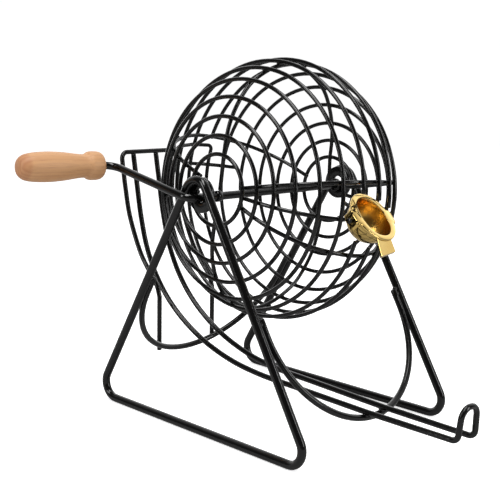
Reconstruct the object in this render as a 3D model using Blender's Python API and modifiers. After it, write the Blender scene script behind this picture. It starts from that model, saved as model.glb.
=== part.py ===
"""Wire ball-drawing cage with a wooden crank handle, as separate named pieces.

Metres, +Z up. X runs along the axle away from the crank, and the front, where the
ball rails end, is at -Y. The origin is the middle of the underside of the foot bar
nearest the crank.
"""
import math

import bmesh
import bpy
from mathutils import Matrix, Vector

# sizes of the stand
APEX_HEIGHT = 0.196            # foot bar's centre to where the two legs would meet
AXLE_DROP = 0.0243             # where the legs would meet to the axle
FRAME_SPACING = 0.1618         # between the two end frames
FOOT_HALF_DEPTH = 0.1163       # middle of a foot bar to where the leg would meet it
FOOT_CORNER_RADIUS = 0.012
APEX_RADIUS = 0.0133
FRAME_WIRE = 0.0064

BRACE_WIRE = 0.0048
FRONT_BRACE_BOTTOM = 0.0186    # height of the curve's lowest point above the foot bar
FRONT_BRACE_TOP = 0.0935
BACK_BRACE_BOTTOM = 0.0284
BACK_BRACE_TOP = 0.1045

# sizes of the guard and of the ball rails
RAIL_WIRE = 0.0040
GUARD_HALF_WIDTH = 0.0300
GUARD_CORNER_RADIUS = 0.0060
GUARD_FOOT_DROP = 0.0045       # how far a post runs on below the brace
RAIL_GAP_TOP = 0.0249          # between the rails' centres, under the guard's bar
RAIL_GAP_FRONT = 0.0125
RAIL_SHIFT_TOP = -0.0046       # middle of the pair from the middle of the stand
RAIL_SHIFT_FRONT = -0.0010
STOP_HEIGHT = 0.0215
STOP_LEAN = 0.0020             # how far the stop loop's top leans forward
STOP_BEND_RADIUS = 0.0040
STOP_TOP_RADIUS = 0.0058

# sizes of the turning cage
CAGE_RADIUS = 0.0992
CAGE_HALF_LENGTH = 0.0647
CAGE_WIRE = 0.0031
CAGE_OFFSET_X = 0.0013         # cage's middle from the middle of the stand
CAGE_RISE = 0.0009             # cage's middle above the axle
CAGE_TILT = 3.52               # degrees, crank side up
CAGE_SKEW = 1.83               # degrees, seen from above
HOOP_SQUASH_SHARE = 0.986      # the hoops are this much out of round, front to back
RIB_END_SHARE = 0.15           # how far a rib's end runs in past the first ring

AXLE_DIAMETER = 0.0059
BORE_DIAMETER = 0.0104
BEARING_RADIUS = 0.0129
BEARING_THICKNESS = 0.0030
SLEEVE_RADIUS = 0.0041
SLEEVE_LENGTH = 0.0045
COLLAR_RADIUS = 0.0052
COLLAR_LENGTH = 0.0040
AXLE_STICK_OUT = 0.0050        # past the far frame's wire

# sizes of the crank and of its handle
CRANK_REACH = 0.0890
CRANK_CLEARANCE = 0.0073       # crank arm's centre outside the near frame's centre
CRANK_RISE = 11.3              # degrees the arm points above level, towards the back
CRANK_SPLAY = 5.7              # degrees the handle's pin leans out from the arm
CRANK_BEND_RADIUS = 0.0075
PIN_SHOULDER = 0.0063          # bare pin between the arm and the handle
PIN_DEPTH = 0.0560             # pin inside the handle
HANDLE_LENGTH = 0.0753
HANDLE_RADIUS = 0.0112

# sizes of the ball catch
CUP_RADIUS = 0.0174
CUP_WALL = 0.0010
CUP_COLLAR_DEPTH = 0.0035      # straight wall between the rim and the bowl
CUP_RIM_WIDTH = 0.0030
CUP_RIM_THICKNESS = 0.0024
CATCH_DISTANCE_SHARE = 0.968   # mouth's centre from the cage's centre line
CATCH_ANGLE = -6.2             # degrees above the front
CATCH_OFFSET = -0.0018         # along the axle from the cage's middle
CATCH_FACE_ANGLE = 42.5        # degrees the mouth looks up from level
EAR_THICKNESS = 0.0012
EAR_WIDTH = 0.0130
EAR_DEPTH = 0.0088             # from the mouth's plane down
EAR_CORNER = 0.0020
CATCH_PIN_DEPTH = 0.0044       # below the mouth's plane
CATCH_PIN_DIAMETER = 0.0042
CATCH_PIN_STICK_OUT = 0.0032   # past the ear
RIB_LAP = 0.0014               # how far a side rib laps its pin
TAB_LENGTH = 0.0136
TAB_SLANT = 0.0024             # how much shorter its far side is
TAB_ROOT_WIDTH = 0.0148
TAB_TIP_WIDTH = 0.0170
TAB_THICKNESS = 0.0012
TAB_BEND = 16.0                # degrees the tab is bent back from the mouth's plane

# sizes of the gate at the back of the cage
GATE_NEAR = -0.0281            # its sides along the cage
GATE_FAR = 0.0152
GATE_TOP_ANGLE = 162.0         # degrees above the front
GATE_FOOT_ANGLE = 186.0
GATE_CORNER_RADIUS = 0.0040
GATE_STOP_ANGLE = 172.8
GATE_STOP_START = 0.0006
GATE_STOP_END = 0.0440

SEAT_GAP = 0.0003              # between pieces that are welded or rest together
RUNNING_GAP = 0.0003

# height and radius of the rings, as shares of the cage's half length and radius
RING_SHARES = (
    (1.000, 0.263), (0.991, 0.399), (0.948, 0.539), (0.845, 0.684),
    (0.688, 0.819), (0.470, 0.914), (0.238, 0.977), (0.000, 1.000),
)
RING_SEGMENTS = (16, 20, 20, 22, 24, 26, 26, 26)
CUT_TOP_ANGLES = {6: 3.2, 7: 0.5, 8: -2.9}       # rings counted from the crank side, from nought
GATE_RING = 8                  # the ring that the gate's far side stands in for
GATE_RING_ANGLES = (159.0, 187.0)                # degrees above the front
RIB_ANGLES = (-97.5, -24.75, 8.25, 157.25, 188.0)
SPOKE_RIB_ANGLE = 85.0
SIDE_RIB_ANGLE = -8.45
SIDE_RIB_RINGS = 6

# profile of the guard and of the rails, as shares of the apex height: back, height
GUARD_BAR_SHARES = (0.775, 0.981)
GUARD_SHARES = ((0.752, 0.850), (0.718, 0.711), (0.650, 0.568), (0.589, 0.490), (0.536, 0.433))
GUARD_KINK_SHARE = 0.385
RAIL_SHARES = (
    (0.752, 0.850), (0.722, 0.700), (0.677, 0.560), (0.600, 0.430), (0.490, 0.320),
    (0.340, 0.230), (0.170, 0.172), (0.000, 0.145), (-0.200, 0.135),
)
RAIL_STOP_SHARES = (-0.930, 0.112)   # where the rails turn up into the stop loop

# the handle's outline from its collar to its butt: share of the length, of the radius
HANDLE_SHARES = (
    (0.000, 0.66), (0.012, 0.79), (0.045, 0.885), (0.085, 0.91), (0.125, 0.885),
    (0.155, 0.80), (0.185, 0.75), (0.240, 0.74), (0.340, 0.79), (0.460, 0.89),
    (0.580, 0.97), (0.680, 1.00), (0.780, 0.985), (0.870, 0.93), (0.930, 0.84),
    (0.970, 0.70), (0.990, 0.54), (1.000, 0.34),
)

ROUND_SIDES = 20
WIRE_RESOLUTION = 2            # eight sides to a thin wire
FRAME_RESOLUTION = 3           # ten sides to a frame wire
AXLE_RESOLUTION = 4            # twelve sides to the axle
BEND_STEPS = 5

# places worked out from the sizes
HALF_SPACING = FRAME_SPACING / 2
FOOT_CENTRE = FRAME_WIRE / 2 * math.cos(math.pi / (4 + 2 * FRAME_RESOLUTION))
AXLE_Z = FOOT_CENTRE + APEX_HEIGHT - AXLE_DROP
LEG_SLOPE = FOOT_HALF_DEPTH / APEX_HEIGHT
AXLE_RADIUS = AXLE_DIAMETER / 2
CATCH_DISTANCE = CATCH_DISTANCE_SHARE * CAGE_RADIUS
CUP_LIP = CUP_RADIUS + CUP_RIM_WIDTH
EAR_MIDDLE = CUP_LIP + SEAT_GAP + EAR_THICKNESS / 2
PIN_END = EAR_MIDDLE + EAR_THICKNESS / 2 + CATCH_PIN_STICK_OUT


def clear_scene():
    """Removes whatever the start-up scene holds."""
    for item in list(bpy.data.objects):
        bpy.data.objects.remove(item)


def make_collection(name):
    group = bpy.data.collections.new(name)
    bpy.context.scene.collection.children.link(group)
    return group


def make_material(name, colour, roughness, metallic):
    material = bpy.data.materials.new(name)
    material.use_nodes = True
    shader = material.node_tree.nodes["Principled BSDF"]
    shader.inputs["Base Color"].default_value = (*colour, 1)
    shader.inputs["Roughness"].default_value = roughness
    shader.inputs["Metallic"].default_value = metallic
    return material


clear_scene()
parts = make_collection("bingo_cage")

black_enamel = make_material("black_enamel", (0.010, 0.010, 0.011), 0.28, 0.0)
brass_plate = make_material("brass_plate", (0.86, 0.62, 0.22), 0.16, 1.0)
turned_wood = make_material("turned_wood", (0.70, 0.44, 0.27), 0.42, 0.0)


def make_empty(name, place, turn=(0, 0, 0), parent=None):
    guide = bpy.data.objects.new(name, None)
    parts.objects.link(guide)
    guide.location = place
    guide.rotation_euler = turn
    guide.parent = parent
    return guide


def finish(item, material, parent=None, smooth=True):
    """Gives a new object its material, its parent and its shading."""
    item.data.materials.append(material)
    parts.objects.link(item)
    item.parent = parent
    if smooth and item.type == "MESH":
        item.data.shade_smooth()
        item.data.set_sharp_from_angle(angle=math.radians(40))
    return item


def wire(name, path, diameter, closed=False, resolution=WIRE_RESOLUTION):
    """A round wire along a path of points."""
    curve = bpy.data.curves.new(name, "CURVE")
    curve.dimensions = "3D"
    curve.bevel_depth = diameter / 2
    curve.bevel_resolution = resolution
    curve.use_fill_caps = True
    spline = curve.splines.new("POLY")
    spline.points.add(len(path) - 1)
    for point, place in zip(spline.points, path):
        point.co = (*place, 1)
        point.radius = 1
    spline.use_cyclic_u = closed
    spline.use_smooth = True
    return bpy.data.objects.new(name, curve)


def plate(name, outlines, thickness):
    """A flat plate from closed outlines in its own XY plane, the later ones holes."""
    curve = bpy.data.curves.new(name, "CURVE")
    curve.dimensions = "2D"
    curve.fill_mode = "BOTH"
    curve.extrude = thickness / 2
    for outline in outlines:
        spline = curve.splines.new("POLY")
        spline.points.add(len(outline) - 1)
        for point, (x, y) in zip(spline.points, outline):
            point.co = (x, y, 0, 1)
        spline.use_cyclic_u = True
    return bpy.data.objects.new(name, curve)


def circle(radius, sides=ROUND_SIDES, middle=(0, 0)):
    turns = [2 * math.pi * (i + 0.5) / sides for i in range(sides)]
    return [(middle[0] + radius * math.cos(t), middle[1] + radius * math.sin(t)) for t in turns]


def turned(name, profile, sides=ROUND_SIDES):
    """A solid of revolution about its own Z, whose profile runs up its outer side."""
    mesh = bpy.data.meshes.new(name)
    points = [(radius, 0, height) for radius, height in reversed(profile)]
    mesh.from_pydata(points, [(i, i + 1) for i in range(len(points) - 1)], [])
    item = bpy.data.objects.new(name, mesh)
    screw = item.modifiers.new("turn", "SCREW")
    screw.steps = sides
    screw.render_steps = sides
    screw.use_merge_vertices = True
    screw.merge_threshold = 0.00005
    return item


def rounded(path, radii, closed=False, steps=BEND_STEPS):
    """The path with an arc at each of its corners, of one radius or a radius each."""
    points = [Vector(place) for place in path]
    count = len(points)
    if not isinstance(radii, (list, tuple)):
        radii = [radii] * count
    result = []
    for i, corner in enumerate(points):
        if not closed and i in (0, count - 1):
            result.append(corner)
            continue
        back = (points[i - 1] - corner).normalized()
        ahead = (points[(i + 1) % count] - corner).normalized()
        half = back.angle(ahead) / 2
        middle = corner + (back + ahead).normalized() * (radii[i] / math.sin(half))
        first = corner + back * (radii[i] / math.tan(half)) - middle
        last = corner + ahead * (radii[i] / math.tan(half)) - middle
        axis = first.cross(last).normalized()
        for k in range(steps + 1):
            turn = Matrix.Rotation((math.pi - 2 * half) * k / steps, 3, axis)
            result.append(middle + turn @ first)
    return result


def smooth_through(points, steps=2):
    """Points on a soft curve through the given ones."""
    points = [Vector(place) for place in points]
    ends = [points[0] * 2 - points[1], *points, points[-1] * 2 - points[-2]]
    result = []
    for i in range(1, len(ends) - 2):
        a, b, c, d = ends[i - 1:i + 3]
        for k in range(steps):
            t = k / steps
            tangent = (c - a) * t + (a * 2 - b * 5 + c * 4 - d) * t ** 2
            bend = (b * 3 - a - c * 3 + d) * t ** 3
            result.append(b + (tangent + bend) / 2)
    result.append(points[-1])
    return result


def leg_length(height):
    """Way up the slope of a leg to a height above the foot bar's centre."""
    return height * math.hypot(1, LEG_SLOPE)


def leg_back(height):
    """How far a leg's centre is from the middle of the stand at a height."""
    return FOOT_HALF_DEPTH - height * LEG_SLOPE


BRACE_RADIUS = HALF_SPACING - FRAME_WIRE / 2 - BRACE_WIRE / 2 - SEAT_GAP


def brace_height(bottom, across):
    """Height of a brace's centre at a distance from the middle of the stand."""
    rise = BRACE_RADIUS - math.sqrt(BRACE_RADIUS ** 2 - across ** 2)
    return bottom + rise / math.hypot(1, LEG_SLOPE)


# End frames: one closed loop of wire each, welded into an A
def make_frame(name, place_x):
    path = rounded(
        [(0, -FOOT_HALF_DEPTH, 0), (0, FOOT_HALF_DEPTH, 0), (0, 0, APEX_HEIGHT)],
        [FOOT_CORNER_RADIUS, FOOT_CORNER_RADIUS, APEX_RADIUS],
        closed=True,
    )
    frame = wire(name, path, FRAME_WIRE, closed=True, resolution=FRAME_RESOLUTION)
    frame.location = (place_x, 0, FOOT_CENTRE)
    return finish(frame, black_enamel)


make_frame("near_frame", 0)
make_frame("far_frame", FRAME_SPACING)


# Braces: a wire bent to a half circle between the two front legs and the two back legs
def make_brace(name, bottom, top, side):
    centre = leg_length(bottom) + BRACE_RADIUS
    steps = 26
    path = [(-BRACE_RADIUS, leg_length(top), 0)]
    for i in range(steps + 1):
        turn = math.pi * i / steps
        path.append((-BRACE_RADIUS * math.cos(turn), centre - BRACE_RADIUS * math.sin(turn), 0))
    path.append((BRACE_RADIUS, leg_length(top), 0))
    brace = wire(name, path, BRACE_WIRE)
    brace.location = (HALF_SPACING, side * FOOT_HALF_DEPTH, FOOT_CENTRE)
    brace.rotation_euler.x = math.atan2(APEX_HEIGHT, -side * FOOT_HALF_DEPTH)
    return finish(brace, black_enamel)


make_brace("front_brace", FRONT_BRACE_BOTTOM, FRONT_BRACE_TOP, -1)
make_brace("back_brace", BACK_BRACE_BOTTOM, BACK_BRACE_TOP, 1)


# Back guard: an upside-down U whose posts are welded behind the back brace
def guard_post_back():
    """Distance of the posts behind the axle, so that they rest against the brace."""
    height = brace_height(BACK_BRACE_BOTTOM, GUARD_HALF_WIDTH)
    slope = GUARD_HALF_WIDTH / math.sqrt(BRACE_RADIUS ** 2 - GUARD_HALF_WIDTH ** 2)
    slope_back = slope * LEG_SLOPE / math.hypot(1, LEG_SLOPE)
    apart = (BRACE_WIRE + RAIL_WIRE) / 2 + SEAT_GAP
    return leg_back(height) + apart * math.hypot(1, slope_back)


def make_guard():
    post = guard_post_back()
    foot = brace_height(BACK_BRACE_BOTTOM, GUARD_HALF_WIDTH) - GUARD_FOOT_DROP
    bar = Vector((0, GUARD_BAR_SHARES[0] * APEX_HEIGHT, GUARD_BAR_SHARES[1] * APEX_HEIGHT))
    side = Vector((GUARD_HALF_WIDTH, 0, 0))
    leg = [Vector((0, back * APEX_HEIGHT, height * APEX_HEIGHT)) for back, height in GUARD_SHARES]
    leg.append(Vector((0, post, GUARD_KINK_SHARE * APEX_HEIGHT)))
    leg = smooth_through(leg)
    leg.append(Vector((0, post, foot)))
    top = rounded([leg[0] - side, bar - side, bar + side, leg[0] + side], GUARD_CORNER_RADIUS)
    path = [place - side for place in reversed(leg)] + top[1:-1] + [place + side for place in leg]
    guard = wire("back_guard", path, RAIL_WIRE)
    guard.location = (HALF_SPACING, 0, FOOT_CENTRE)
    return finish(guard, black_enamel)


make_guard()


# Ball rails: one wire that hangs from the guard's bar, rests on the front brace and
# comes back again, with the stop loop for the balls where it turns round
def rail_side(back, sign):
    """Distance of a rail from the middle of the stand, which closes in to the front."""
    first = GUARD_SHARES[2][0] * APEX_HEIGHT
    last = RAIL_STOP_SHARES[0] * APEX_HEIGHT
    way = min(max((first - back) / (first - last), 0), 1)
    gap = RAIL_GAP_TOP + (RAIL_GAP_FRONT - RAIL_GAP_TOP) * way
    shift = RAIL_SHIFT_TOP + (RAIL_SHIFT_FRONT - RAIL_SHIFT_TOP) * way
    return shift + sign * gap / 2


def rail_profile():
    """The rails' course seen from the side, from the guard's bar to the front brace."""
    bar_back, bar_height = (share * APEX_HEIGHT for share in GUARD_BAR_SHARES)
    points = [(0, bar_back, bar_height - RAIL_WIRE - SEAT_GAP)]
    points += [(0, back * APEX_HEIGHT, height * APEX_HEIGHT) for back, height in RAIL_SHARES]
    across = RAIL_GAP_FRONT / 2
    height = brace_height(FRONT_BRACE_BOTTOM, across)
    rest = height + (BRACE_WIRE + RAIL_WIRE) / 2 + SEAT_GAP
    points.append((0, -leg_back(height), rest))
    return smooth_through(points)


def make_rails():
    stop_back, stop_height = (share * APEX_HEIGHT for share in RAIL_STOP_SHARES)
    sides = []
    for sign in (-1, 1):
        course = [Vector((rail_side(p.y, sign), p.y, p.z)) for p in rail_profile()]
        sides.append(course)
    near, far = sides
    left = rail_side(stop_back, -1)
    right = rail_side(stop_back, 1)
    low = stop_height
    high = stop_height + STOP_HEIGHT
    lean = stop_back - STOP_LEAN
    turn = rounded(
        [near[-1], (left, stop_back, low), (left, lean, high), (right, lean, high),
         (right, stop_back, low), far[-1]],
        [0, STOP_BEND_RADIUS, STOP_TOP_RADIUS, STOP_TOP_RADIUS, STOP_BEND_RADIUS, 0],
    )
    path = near + turn[1:-1] + list(reversed(far))
    rails = wire("ball_rails", path, RAIL_WIRE)
    rails.location = (HALF_SPACING, 0, FOOT_CENTRE)
    return finish(rails, black_enamel)


make_rails()


# Bearing discs: welded inside the frames' tops, each with a hole wider than the axle
def make_bearing(name, sign):
    rise = (BORE_DIAMETER - AXLE_DIAMETER) / 2 - RUNNING_GAP
    disc = plate(name, [circle(BEARING_RADIUS), circle(BORE_DIAMETER / 2)], BEARING_THICKNESS)
    inside = FRAME_WIRE / 2 + SEAT_GAP + BEARING_THICKNESS / 2
    disc.location = (HALF_SPACING + sign * (HALF_SPACING - inside), 0, AXLE_Z + rise)
    disc.rotation_euler = (math.pi / 2, 0, math.pi / 2)
    return finish(disc, black_enamel)


make_bearing("near_bearing_disc", -1)
make_bearing("far_bearing_disc", 1)

# The cage turns about this line, and the cage itself sits a little askew on it
axle_line = make_empty("axle_line", (HALF_SPACING, 0, AXLE_Z))
cage_middle = make_empty(
    "cage_middle",
    (CAGE_OFFSET_X, 0, CAGE_RISE),
    (0, math.radians(CAGE_TILT), math.radians(CAGE_SKEW)),
    axle_line,
)
bpy.context.view_layer.update()


# Crank: the axle's near end is bent twice and carries the handle
def crank_places():
    arm_x = -HALF_SPACING - CRANK_CLEARANCE
    rise = math.radians(CRANK_RISE)
    splay = math.radians(CRANK_SPLAY)
    arm = Vector((0, math.cos(rise), math.sin(rise)))
    pin = Vector((-math.cos(splay), 0, 0)) + arm * math.sin(splay)
    corner = Vector((arm_x, 0, 0)) + arm * CRANK_REACH
    return Vector((arm_x, 0, 0)), corner, pin


def make_axle():
    elbow, corner, pin = crank_places()
    far_end = HALF_SPACING + FRAME_WIRE / 2 + AXLE_STICK_OUT
    tip = corner + pin * (PIN_SHOULDER + PIN_DEPTH)
    path = rounded([(far_end, 0, 0), elbow, corner, tip], CRANK_BEND_RADIUS)
    axle = wire("axle_and_crank", path, AXLE_DIAMETER, resolution=AXLE_RESOLUTION)
    return finish(axle, black_enamel, axle_line)


make_axle()


def make_sleeve(name, radius, length, middle_x):
    sleeve = plate(
        name,
        [circle(radius), circle(AXLE_RADIUS + SEAT_GAP, sides=AXLE_RESOLUTION * 2 + 4)],
        length,
    )
    sleeve.location = (middle_x, 0, 0)
    sleeve.rotation_euler = (math.pi / 2, 0, math.pi / 2)
    return finish(sleeve, black_enamel, axle_line)


RIB_INSET = CAGE_WIRE + SEAT_GAP
SPOKE_X = CAGE_HALF_LENGTH - RIB_INSET
bearing_inside = HALF_SPACING - FRAME_WIRE / 2 - 2 * SEAT_GAP - BEARING_THICKNESS
make_sleeve("near_hub_sleeve", SLEEVE_RADIUS, SLEEVE_LENGTH, CAGE_OFFSET_X - SPOKE_X)
make_sleeve("far_stop_collar", COLLAR_RADIUS, COLLAR_LENGTH, bearing_inside - COLLAR_LENGTH / 2)


# Wooden handle: turned in one piece and free to turn on the crank's pin
def make_handle():
    elbow, corner, pin = crank_places()
    guide = make_empty("handle_line", corner, (0, 0, 0), axle_line)
    guide.rotation_mode = "QUATERNION"
    guide.rotation_quaternion = pin.to_track_quat("Z", "X")
    bore = AXLE_RADIUS + RUNNING_GAP
    depth = PIN_DEPTH + RUNNING_GAP
    outside = [(radius * HANDLE_RADIUS, way * HANDLE_LENGTH) for way, radius in HANDLE_SHARES]
    profile = [(0, depth), (bore, depth), (bore, 0), *outside, (0, HANDLE_LENGTH)]
    handle = turned("handle", profile)
    handle.location = (0, 0, PIN_SHOULDER)
    return finish(handle, turned_wood, guide)


make_handle()


# Cage rings: hoops of wire, the biggest in the middle, some cut for the ball catch
RING_COUNT = 2 * len(RING_SHARES) - 1


def ring_place(number):
    """Distance along the cage and radius of a ring, counted from the crank side."""
    share_along, share_radius = RING_SHARES[min(number, RING_COUNT - 1 - number)]
    sign = -1 if number < len(RING_SHARES) - 1 else 1
    return sign * share_along * CAGE_HALF_LENGTH, share_radius * CAGE_RADIUS


def cage_point(along, radius, angle):
    """A place in the cage: along its middle line, out from it, degrees above the front."""
    turn = math.radians(angle)
    return Vector((along, -radius * math.cos(turn) * HOOP_SQUASH_SHARE, radius * math.sin(turn)))


# The catch's own axes in the cage, and its places: the mouth's middle and the pins' line
catch_turn = math.radians(CATCH_ANGLE)
face_turn = math.radians(CATCH_FACE_ANGLE)
mouth_way = Vector((0, -math.cos(face_turn), math.sin(face_turn)))
catch_out = Vector((0, -math.cos(catch_turn), math.sin(catch_turn)))
mouth_middle = Vector((CATCH_OFFSET, 0, 0)) + catch_out * CATCH_DISTANCE
pin_middle = mouth_middle - mouth_way * CATCH_PIN_DEPTH
bowl_middle = mouth_middle - mouth_way * CUP_COLLAR_DEPTH


def cut_low(number):
    """Angle at which a cut ring ends below the catch, clear of the bowl."""
    along, radius = ring_place(number)
    clear = CUP_RADIUS + CAGE_WIRE
    reach = math.sqrt(clear ** 2 - (along - bowl_middle.x) ** 2)
    bowl_angle = math.degrees(math.atan2(bowl_middle.z, -bowl_middle.y))
    return bowl_angle - math.degrees(2 * math.asin(reach / 2 / radius))


def make_arc(name, number, turns, closed=False):
    along, radius = ring_place(number)
    path = [cage_point(0, radius, turn) for turn in turns]
    ring = wire(name, path, CAGE_WIRE, closed=closed)
    ring.location = (along, 0, 0)
    return finish(ring, black_enamel, cage_middle)


def spread(first, last, number):
    """Angles from first to last, as far apart as in the whole ring or a little closer."""
    segments = RING_SEGMENTS[min(number, RING_COUNT - 1 - number)]
    count = math.ceil((last - first) / 360 * segments)
    return [first + (last - first) * i / count for i in range(count + 1)]


def make_ring(number):
    name = f"cage_ring_{number + 1:02d}"
    if number not in CUT_TOP_ANGLES:
        make_arc(name, number, spread(0, 360, number)[:-1], closed=True)
        return
    top, bottom = CUT_TOP_ANGLES[number], 360 + cut_low(number)
    if number == GATE_RING:
        make_arc(name + "_low", number, spread(GATE_RING_ANGLES[1], bottom, number))
        bottom = GATE_RING_ANGLES[0]
    make_arc(name, number, spread(top, bottom, number))


for ring_number in range(RING_COUNT):
    make_ring(ring_number)


# Cage ribs: wires inside the rings, from one end of the cage to the other
def rib_profile():
    """Places along and out from the middle line, a wire's width inside the rings."""
    places = [Vector(ring_place(i)) for i in range(RING_COUNT)]
    result = []
    for i, place in enumerate(places):
        way = (places[min(i + 1, RING_COUNT - 1)] - places[max(i - 1, 0)]).normalized()
        flat = math.cos(math.pi / RING_SEGMENTS[min(i, RING_COUNT - 1 - i)])
        inset = RIB_INSET + place.y * (1 - flat)
        result.append((place.x + way.y * inset, place.y - way.x * inset))
    return result


def make_rib(name, angle):
    """A rib that runs in past the first ring and past the last."""
    profile = rib_profile()
    end_along, end_radius = profile[0]
    end_radius -= RIB_END_SHARE * RING_SHARES[0][1] * CAGE_RADIUS
    places = [(end_along, end_radius), *profile, (-end_along, end_radius)]
    path = smooth_through([cage_point(along, out, angle) for along, out in places])
    return finish(wire(name, path, CAGE_WIRE), black_enamel, cage_middle)


def make_side_rib(name, sign):
    """A short rib from one end of the cage that ends beneath the catch's pin."""
    profile = [(-sign * along, out) for along, out in rib_profile()[:SIDE_RIB_RINGS]]
    along, out = profile[0]
    places = [(along, out - RIB_END_SHARE * RING_SHARES[0][1] * CAGE_RADIUS), *profile]
    path = [cage_point(along, out, SIDE_RIB_ANGLE) for along, out in places]
    outward = Vector((0, pin_middle.y, pin_middle.z)).normalized()
    inset = (CATCH_PIN_DIAMETER + CAGE_WIRE) / 2 + SEAT_GAP
    last = pin_middle + Vector((sign * (PIN_END - RIB_LAP), 0, 0)) - outward * inset
    return finish(wire(name, smooth_through([*path, last]), CAGE_WIRE), black_enamel, cage_middle)


def make_spoke_rib(name, angle):
    """The rib whose ends go on to the axle and carry the cage on it."""
    to_cage = cage_middle.matrix_world.inverted() @ axle_line.matrix_world
    start = to_cage @ Vector((0, 0, 0))
    way = (to_cage @ Vector((HALF_SPACING, 0, 0))) - start
    profile = rib_profile()
    path = smooth_through([cage_point(along, out, angle) for along, out in profile])
    ends = []
    for place, radius in ((path[0], SLEEVE_RADIUS), (path[-1], AXLE_RADIUS)):
        on_axle = start + way * ((place.x - start.x) / way.x)
        out = Vector((0, place.y - on_axle.y, place.z - on_axle.z)).normalized()
        ends.append(on_axle + out * (radius + SEAT_GAP))
    return finish(wire(name, [ends[0], *path, ends[1]], CAGE_WIRE), black_enamel, cage_middle)


for rib_number, rib_angle in enumerate(RIB_ANGLES):
    make_rib(f"cage_rib_{rib_number + 1}", rib_angle)
make_spoke_rib("cage_spoke_rib", SPOKE_RIB_ANGLE)
make_side_rib("catch_near_rib", -1)
make_side_rib("catch_far_rib", 1)


# Gate: a bent wire inside the back of the hoops, and a short wire across it outside them
def surface(along):
    """Radius of the hoops' barrel shape at a place along the cage, and its slope there."""
    places = [ring_place(i) for i in range(RING_COUNT)]
    spans = zip(places, places[1:])
    (first, low), (last, high) = next(span for span in spans if along <= span[1][0])
    slope = (high - low) / (last - first)
    return low + slope * (along - first), slope


def make_gate():
    """Up its near side, across its top and down its far side, to the rib at its foot."""
    steps = 5
    flat = math.cos(math.pi / RING_SEGMENTS[-1])
    inset = RIB_INSET + CAGE_RADIUS * (1 - flat)
    corner = math.degrees(GATE_CORNER_RADIUS / CAGE_RADIUS)
    near, far = GATE_NEAR, GATE_FAR
    course = [(near, GATE_FOOT_ANGLE), (near, (GATE_FOOT_ANGLE + GATE_TOP_ANGLE) / 2)]
    for i in range(steps + 1):
        turn = math.pi / 2 * i / steps
        along = near + GATE_CORNER_RADIUS * (1 - math.cos(turn))
        course.append((along, GATE_TOP_ANGLE + corner * (1 - math.sin(turn))))
    middle = (near + far) / 2
    course.append((middle, GATE_TOP_ANGLE))
    for i in range(steps + 1):
        turn = math.pi / 2 * i / steps
        along = far - GATE_CORNER_RADIUS * (1 - math.sin(turn))
        course.append((along, GATE_TOP_ANGLE + corner * (1 - math.cos(turn))))
    course.append((far, (GATE_FOOT_ANGLE + GATE_TOP_ANGLE) / 2))
    course.append((far, GATE_FOOT_ANGLE))
    path = [cage_point(along, surface(along)[0] - inset, angle) for along, angle in course]
    return finish(wire("gate_frame", path, CAGE_WIRE), black_enamel, cage_middle)


def make_gate_stop():
    """Clear of the hoops where they slope the most, which is at its far end."""
    standoff = RIB_INSET * math.hypot(1, surface(GATE_STOP_END)[1]) / HOOP_SQUASH_SHARE
    steps = 8
    path = []
    for i in range(steps + 1):
        along = GATE_STOP_START + (GATE_STOP_END - GATE_STOP_START) * i / steps
        path.append(cage_point(along, surface(along)[0] + standoff, GATE_STOP_ANGLE))
    return finish(wire("gate_stop_wire", path, CAGE_WIRE), black_enamel, cage_middle)


make_gate()
make_gate_stop()


# Ball catch: a pressed brass cup with two ears, which tips on two pins between the ribs
cup_line = make_empty("cup_line", pin_middle, (math.radians(90 - CATCH_FACE_ANGLE), 0, 0), cage_middle)


def make_cup():
    steps = 7
    inner = CUP_RADIUS - CUP_WALL
    profile = [(0, -CUP_COLLAR_DEPTH - CUP_RADIUS)]
    for i in range(1, steps + 1):
        turn = math.pi / 2 * i / steps
        profile.append((CUP_RADIUS * math.sin(turn), -CUP_COLLAR_DEPTH - CUP_RADIUS * math.cos(turn)))
    profile += [(CUP_RADIUS, -CUP_RIM_THICKNESS), (CUP_LIP, -CUP_RIM_THICKNESS), (CUP_LIP, 0), (inner, 0)]
    for i in range(steps):
        turn = math.pi / 2 * i / steps
        profile.append((inner * math.cos(turn), -CUP_COLLAR_DEPTH - inner * math.sin(turn)))
    profile.append((0, -CUP_COLLAR_DEPTH - inner))
    cup = turned("catch_cup", profile)
    cup.location = (0, 0, CATCH_PIN_DEPTH)
    return finish(cup, brass_plate, cup_line)


make_cup()


def make_ear(name, sign):
    """An ear in its own plane: x runs back and up along the mouth, y towards the mouth."""
    side, top = EAR_WIDTH / 2, CATCH_PIN_DEPTH
    low = top - EAR_DEPTH
    corners = [(-side, low, 0), (side, low, 0), (side, top, 0), (-side, top, 0)]
    outline = [(p.x, p.y) for p in rounded(corners, EAR_CORNER, closed=True, steps=3)]
    bore = circle(CATCH_PIN_DIAMETER / 2 + RUNNING_GAP, sides=16)
    ear = plate(name, [outline, bore], EAR_THICKNESS)
    ear.location = (sign * EAR_MIDDLE, 0, 0)
    ear.rotation_euler = (math.pi / 2, 0, math.pi / 2)
    return finish(ear, brass_plate, cup_line)


make_ear("catch_near_ear", -1)
make_ear("catch_far_ear", 1)


def make_catch_pin(name, sign):
    """A pin through an ear, which belongs to the cage."""
    first = pin_middle + Vector((sign * (CUP_LIP + SEAT_GAP), 0, 0))
    last = pin_middle + Vector((sign * PIN_END, 0, 0))
    pin = wire(name, [first, last], CATCH_PIN_DIAMETER, resolution=AXLE_RESOLUTION)
    return finish(pin, black_enamel, cage_middle)


make_catch_pin("catch_near_pin", -1)
make_catch_pin("catch_far_pin", 1)


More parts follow.
